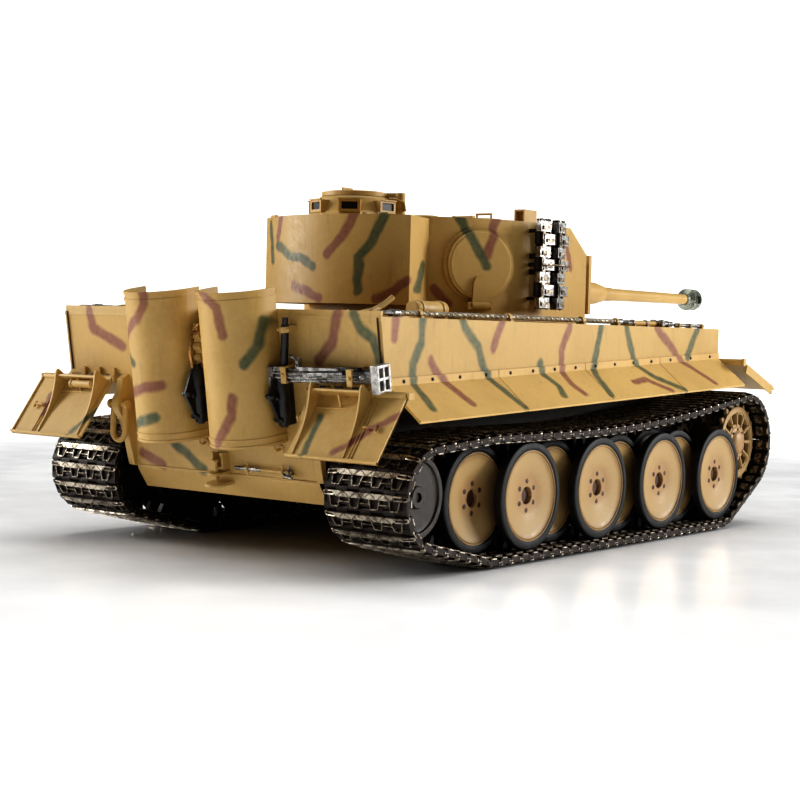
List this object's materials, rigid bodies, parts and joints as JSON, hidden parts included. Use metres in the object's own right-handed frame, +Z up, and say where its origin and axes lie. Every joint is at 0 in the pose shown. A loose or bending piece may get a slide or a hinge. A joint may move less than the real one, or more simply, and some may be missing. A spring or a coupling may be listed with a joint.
{
  "type": "rc tank",
  "caption": "Radio controlled model of a heavy battle tank with turning turret, elevating and recoiling gun, overlapping road wheels and metal link tracks.",
  "frame": {"origin": "middle of the bounding box, on the ground under the tracks", "axes": "+X forward along the gun, +Y to the tank's left, +Z up"},
  "size_m": [0.493, 0.231, 0.1812],
  "materials": {
    "hull_paint": "satin",
    "wheel_paint": "satin",
    "dark_steel": "matte",
    "black_metal": "matte",
    "bare_steel": "satin",
    "track_metal": "worn",
    "battery_wrap": "gloss",
    "board_green": "matte",
    "black_plastic": "matte",
    "brake_steel": "satin"
  },
  "bodies": {
    "hull": {"lower_hull": "hull_paint", "upper_hull": "hull_paint", "engine_deck": "hull_paint", "side_skirts": "hull_paint", "hull_screws": "dark_steel", "exhaust_shields": "hull_paint", "exhaust_pipes": "black_metal", "rear_fittings": "hull_paint", "rear_tools": "bare_steel", "jack": "black_metal", "deck_tools": "hull_paint", "tow_cables": "bare_steel", "bow_fittings": "hull_paint", "hull_hatches": "hull_paint", "track_right": "track_metal", "track_left": "track_metal", "swing_arms_right": "dark_steel", "swing_arms_left": "dark_steel", "gearboxes": "bare_steel", "battery_pack": "battery_wrap", "control_board": "board_green", "speaker": "black_plastic", "smoke_unit": "black_plastic", "turret_motor": "black_plastic"},
    "turret": {"turret_shell": "hull_paint", "turret_bin": "hull_paint", "turret_fittings": "hull_paint", "spare_links": "bare_steel", "cupola": "hull_paint", "gun_servo": "black_plastic"},
    "gun_mantlet": {"mantlet": "hull_paint"},
    "gun_barrel": {"barrel": "hull_paint", "muzzle_brake": "brake_steel"},
    "commander_hatch": {"cupola_hatch": "hull_paint"},
    "roof_hatch": {"loader_hatch": "hull_paint"},
    "escape_hatch": {"escape_hatch": "hull_paint"},
    "front_mudguard_right": {"front_mudguard_right": "hull_paint"},
    "front_mudguard_left": {"front_mudguard_left": "hull_paint"},
    "rear_mudguard_right": {"rear_mudguard_right": "hull_paint"},
    "rear_mudguard_left": {"rear_mudguard_left": "hull_paint"},
    "sprocket_right": {"sprocket_right": "wheel_paint"},
    "idler_right": {"idler_right": "wheel_paint"},
    "sprocket_left": {"sprocket_left": "wheel_paint"},
    "idler_left": {"idler_left": "wheel_paint"},
    "wheel_right_1": {"wheel_right_1": "wheel_paint"},
    "wheel_right_2": {"wheel_right_2": "wheel_paint"},
    "wheel_right_3": {"wheel_right_3": "wheel_paint"},
    "wheel_right_4": {"wheel_right_4": "wheel_paint"},
    "wheel_right_5": {"wheel_right_5": "wheel_paint"},
    "wheel_right_6": {"wheel_right_6": "wheel_paint"},
    "wheel_right_7": {"wheel_right_7": "wheel_paint"},
    "wheel_right_8": {"wheel_right_8": "wheel_paint"},
    "wheel_left_1": {"wheel_left_1": "wheel_paint"},
    "wheel_left_2": {"wheel_left_2": "wheel_paint"},
    "wheel_left_3": {"wheel_left_3": "wheel_paint"},
    "wheel_left_4": {"wheel_left_4": "wheel_paint"},
    "wheel_left_5": {"wheel_left_5": "wheel_paint"},
    "wheel_left_6": {"wheel_left_6": "wheel_paint"},
    "wheel_left_7": {"wheel_left_7": "wheel_paint"},
    "wheel_left_8": {"wheel_left_8": "wheel_paint"}
  },
  "joints": [
    {"name": "turret_turn", "type": "hinge", "parent": "hull", "child": "turret", "pos_m": [-0.05352, 0, 0.1125], "axis": [0, 0, 1], "range_deg": [-160, 160]},
    {"name": "gun_elevation", "type": "hinge", "parent": "turret", "child": "gun_mantlet", "pos_m": [-0.00652, 0, 0.132], "axis": [0, -1, 0], "range_deg": [-4, 10]},
    {"name": "gun_recoil", "type": "slide", "parent": "gun_mantlet", "child": "gun_barrel", "axis": [-1, 0, 0], "range_m": [0, 0.012], "stiffness_N_per_m": 300},
    {"name": "commander_hatch_swing", "type": "hinge", "parent": "turret", "child": "commander_hatch", "pos_m": [-0.07257, 0.0073, 0.1725], "axis": [0, 0, -1], "range_deg": [0, 110]},
    {"name": "roof_hatch_hinge", "type": "hinge", "parent": "turret", "child": "roof_hatch", "pos_m": [-0.06602, -0.029, 0.1644], "axis": [0, -1, 0], "range_deg": [0, 95]},
    {"name": "escape_hatch_hinge", "type": "hinge", "parent": "turret", "child": "escape_hatch", "pos_m": [-0.09217, -0.05908, 0.1195], "axis": [0.8368, -0.5476, 0], "range_deg": [0, 70]},
    {"name": "front_mudguard_hinge_right", "type": "hinge", "parent": "hull", "child": "front_mudguard_right", "pos_m": [0.09098, -0.0873, 0.0934], "axis": [0, -1, 0], "range_deg": [0, 45]},
    {"name": "front_mudguard_hinge_left", "type": "hinge", "parent": "hull", "child": "front_mudguard_left", "pos_m": [0.09098, 0.0873, 0.0934], "axis": [0, -1, 0], "range_deg": [0, 45]},
    {"name": "rear_mudguard_hinge_right", "type": "hinge", "parent": "hull", "child": "rear_mudguard_right", "pos_m": [-0.22012, -0.0885, 0.079], "axis": [0, 1, 0], "range_deg": [0, 50]},
    {"name": "rear_mudguard_hinge_left", "type": "hinge", "parent": "hull", "child": "rear_mudguard_left", "pos_m": [-0.22012, 0.0885, 0.079], "axis": [0, 1, 0], "range_deg": [0, 50]},
    {"name": "sprocket_spin_right", "type": "hinge", "parent": "hull", "child": "sprocket_right", "pos_m": [0.10748, -0.0882, 0.047], "axis": [0, 1, 0], "continuous": true},
    {"name": "idler_spin_right", "type": "hinge", "parent": "hull", "child": "idler_right", "pos_m": [-0.19352, -0.0882, 0.0343], "axis": [0, 1, 0], "continuous": true},
    {"name": "wheel_right_1_spin", "type": "hinge", "parent": "hull", "child": "wheel_right_1", "pos_m": [0.07548, -0.0882, 0.0308], "axis": [0, 1, 0], "continuous": true},
    {"name": "wheel_right_2_spin", "type": "hinge", "parent": "hull", "child": "wheel_right_2", "pos_m": [0.04348, -0.0882, 0.0308], "axis": [0, 1, 0], "continuous": true},
    {"name": "wheel_right_3_spin", "type": "hinge", "parent": "hull", "child": "wheel_right_3", "pos_m": [0.01148, -0.0882, 0.0308], "axis": [0, 1, 0], "continuous": true},
    {"name": "wheel_right_4_spin", "type": "hinge", "parent": "hull", "child": "wheel_right_4", "pos_m": [-0.02052, -0.0882, 0.0308], "axis": [0, 1, 0], "continuous": true},
    {"name": "wheel_right_5_spin", "type": "hinge", "parent": "hull", "child": "wheel_right_5", "pos_m": [-0.05252, -0.0882, 0.0308], "axis": [0, 1, 0], "continuous": true},
    {"name": "wheel_right_6_spin", "type": "hinge", "parent": "hull", "child": "wheel_right_6", "pos_m": [-0.08452, -0.0882, 0.0308], "axis": [0, 1, 0], "continuous": true},
    {"name": "wheel_right_7_spin", "type": "hinge", "parent": "hull", "child": "wheel_right_7", "pos_m": [-0.11652, -0.0882, 0.0308], "axis": [0, 1, 0], "continuous": true},
    {"name": "wheel_right_8_spin", "type": "hinge", "parent": "hull", "child": "wheel_right_8", "pos_m": [-0.14852, -0.0882, 0.0308], "axis": [0, 1, 0], "continuous": true},
    {"name": "sprocket_spin_left", "type": "hinge", "parent": "hull", "child": "sprocket_left", "pos_m": [0.10748, 0.0882, 0.047], "axis": [0, 1, 0], "continuous": true},
    {"name": "idler_spin_left", "type": "hinge", "parent": "hull", "child": "idler_left", "pos_m": [-0.19352, 0.0882, 0.0343], "axis": [0, 1, 0], "continuous": true},
    {"name": "wheel_left_1_spin", "type": "hinge", "parent": "hull", "child": "wheel_left_1", "pos_m": [0.07548, 0.0882, 0.0308], "axis": [0, 1, 0], "continuous": true},
    {"name": "wheel_left_2_spin", "type": "hinge", "parent": "hull", "child": "wheel_left_2", "pos_m": [0.04348, 0.0882, 0.0308], "axis": [0, 1, 0], "continuous": true},
    {"name": "wheel_left_3_spin", "type": "hinge", "parent": "hull", "child": "wheel_left_3", "pos_m": [0.01148, 0.0882, 0.0308], "axis": [0, 1, 0], "continuous": true},
    {"name": "wheel_left_4_spin", "type": "hinge", "parent": "hull", "child": "wheel_left_4", "pos_m": [-0.02052, 0.0882, 0.0308], "axis": [0, 1, 0], "continuous": true},
    {"name": "wheel_left_5_spin", "type": "hinge", "parent": "hull", "child": "wheel_left_5", "pos_m": [-0.05252, 0.0882, 0.0308], "axis": [0, 1, 0], "continuous": true},
    {"name": "wheel_left_6_spin", "type": "hinge", "parent": "hull", "child": "wheel_left_6", "pos_m": [-0.08452, 0.0882, 0.0308], "axis": [0, 1, 0], "continuous": true},
    {"name": "wheel_left_7_spin", "type": "hinge", "parent": "hull", "child": "wheel_left_7", "pos_m": [-0.11652, 0.0882, 0.0308], "axis": [0, 1, 0], "continuous": true},
    {"name": "wheel_left_8_spin", "type": "hinge", "parent": "hull", "child": "wheel_left_8", "pos_m": [-0.14852, 0.0882, 0.0308], "axis": [0, 1, 0], "continuous": true}
  ],
  "couplings": [
    {"joint": "idler_spin_right", "follows": "sprocket_spin_right", "ratio": 1.2196},
    {"joint": "wheel_right_1_spin", "follows": "sprocket_spin_right", "ratio": 1.0316},
    {"joint": "wheel_right_2_spin", "follows": "sprocket_spin_right", "ratio": 1.0316},
    {"joint": "wheel_right_3_spin", "follows": "sprocket_spin_right", "ratio": 1.0316},
    {"joint": "wheel_right_4_spin", "follows": "sprocket_spin_right", "ratio": 1.0316},
    {"joint": "wheel_right_5_spin", "follows": "sprocket_spin_right", "ratio": 1.0316},
    {"joint": "wheel_right_6_spin", "follows": "sprocket_spin_right", "ratio": 1.0316},
    {"joint": "wheel_right_7_spin", "follows": "sprocket_spin_right", "ratio": 1.0316},
    {"joint": "wheel_right_8_spin", "follows": "sprocket_spin_right", "ratio": 1.0316},
    {"joint": "idler_spin_left", "follows": "sprocket_spin_left", "ratio": 1.2196},
    {"joint": "wheel_left_1_spin", "follows": "sprocket_spin_left", "ratio": 1.0316},
    {"joint": "wheel_left_2_spin", "follows": "sprocket_spin_left", "ratio": 1.0316},
    {"joint": "wheel_left_3_spin", "follows": "sprocket_spin_left", "ratio": 1.0316},
    {"joint": "wheel_left_4_spin", "follows": "sprocket_spin_left", "ratio": 1.0316},
    {"joint": "wheel_left_5_spin", "follows": "sprocket_spin_left", "ratio": 1.0316},
    {"joint": "wheel_left_6_spin", "follows": "sprocket_spin_left", "ratio": 1.0316},
    {"joint": "wheel_left_7_spin", "follows": "sprocket_spin_left", "ratio": 1.0316},
    {"joint": "wheel_left_8_spin", "follows": "sprocket_spin_left", "ratio": 1.0316}
  ]
}
